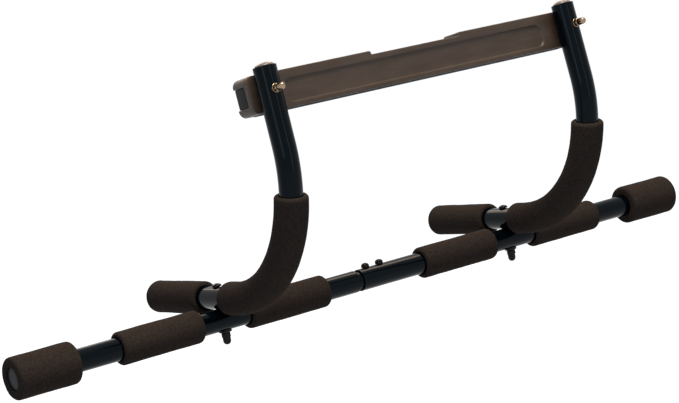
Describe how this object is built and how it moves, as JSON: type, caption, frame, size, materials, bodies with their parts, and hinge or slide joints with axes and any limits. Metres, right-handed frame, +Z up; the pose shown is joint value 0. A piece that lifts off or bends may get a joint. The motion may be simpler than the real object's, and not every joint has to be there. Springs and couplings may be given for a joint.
{
  "type": "pull up bar",
  "caption": "Doorway pull up bar: long padded bar in two halves, two bent steel arms with padded handles, and a moulded crosspiece that rests on the door trim.",
  "frame": {"origin": "middle of the underside of the pad under the crosspiece, where it rests on the door trim", "axes": "+X along the bar, +Y towards the side the user hangs on, where the handles point, +Z up"},
  "size_m": [0.94, 0.3368, 0.3025],
  "materials": {
    "tube_paint": "gloss black powder coat",
    "foam": "matte closed-cell foam with fine pores",
    "plastic": "fine-grained satin",
    "plug_plastic": "satin",
    "cap_plastic": "gloss",
    "black_fastener": "polished black",
    "bright_fastener": "polished",
    "steel": "plain zinc",
    "rubber": "matte"
  },
  "bodies": {
    "root": {"bar_tube_left": "tube_paint", "bar_tube_right": "tube_paint", "coupling_sleeve": "tube_paint", "arm_tube_left": "tube_paint", "arm_tube_right": "tube_paint", "crosspiece_rail": "tube_paint", "end_grip_left": "foam", "end_grip_right": "foam", "outer_bar_grip_left": "foam", "outer_bar_grip_right": "foam", "inner_bar_grip_left": "foam", "inner_bar_grip_right": "foam", "arm_foam_left": "foam", "arm_foam_right": "foam", "handle_grip_left": "foam", "handle_grip_right": "foam", "crosspiece": "plastic", "bar_end_plug_left": "plug_plastic", "bar_end_plug_right": "plug_plastic", "handle_end_plug_left": "plug_plastic", "handle_end_plug_right": "plug_plastic", "arm_top_plug_left": "cap_plastic", "arm_top_plug_right": "cap_plastic", "joint_screw_left": "black_fastener", "joint_screw_right": "black_fastener", "arm_bolt_left": "black_fastener", "arm_bolt_right": "black_fastener", "saddle_washer_left": "black_fastener", "saddle_washer_right": "black_fastener", "arm_nut_left": "black_fastener", "arm_nut_right": "black_fastener", "crosspiece_washer_left": "bright_fastener", "crosspiece_washer_right": "bright_fastener", "crosspiece_nut_left": "bright_fastener", "crosspiece_nut_right": "bright_fastener", "crosspiece_bolt_left": "steel", "crosspiece_bolt_right": "steel", "rear_pad": "rubber", "trim_pad": "rubber"}
  },
  "joints": []
}
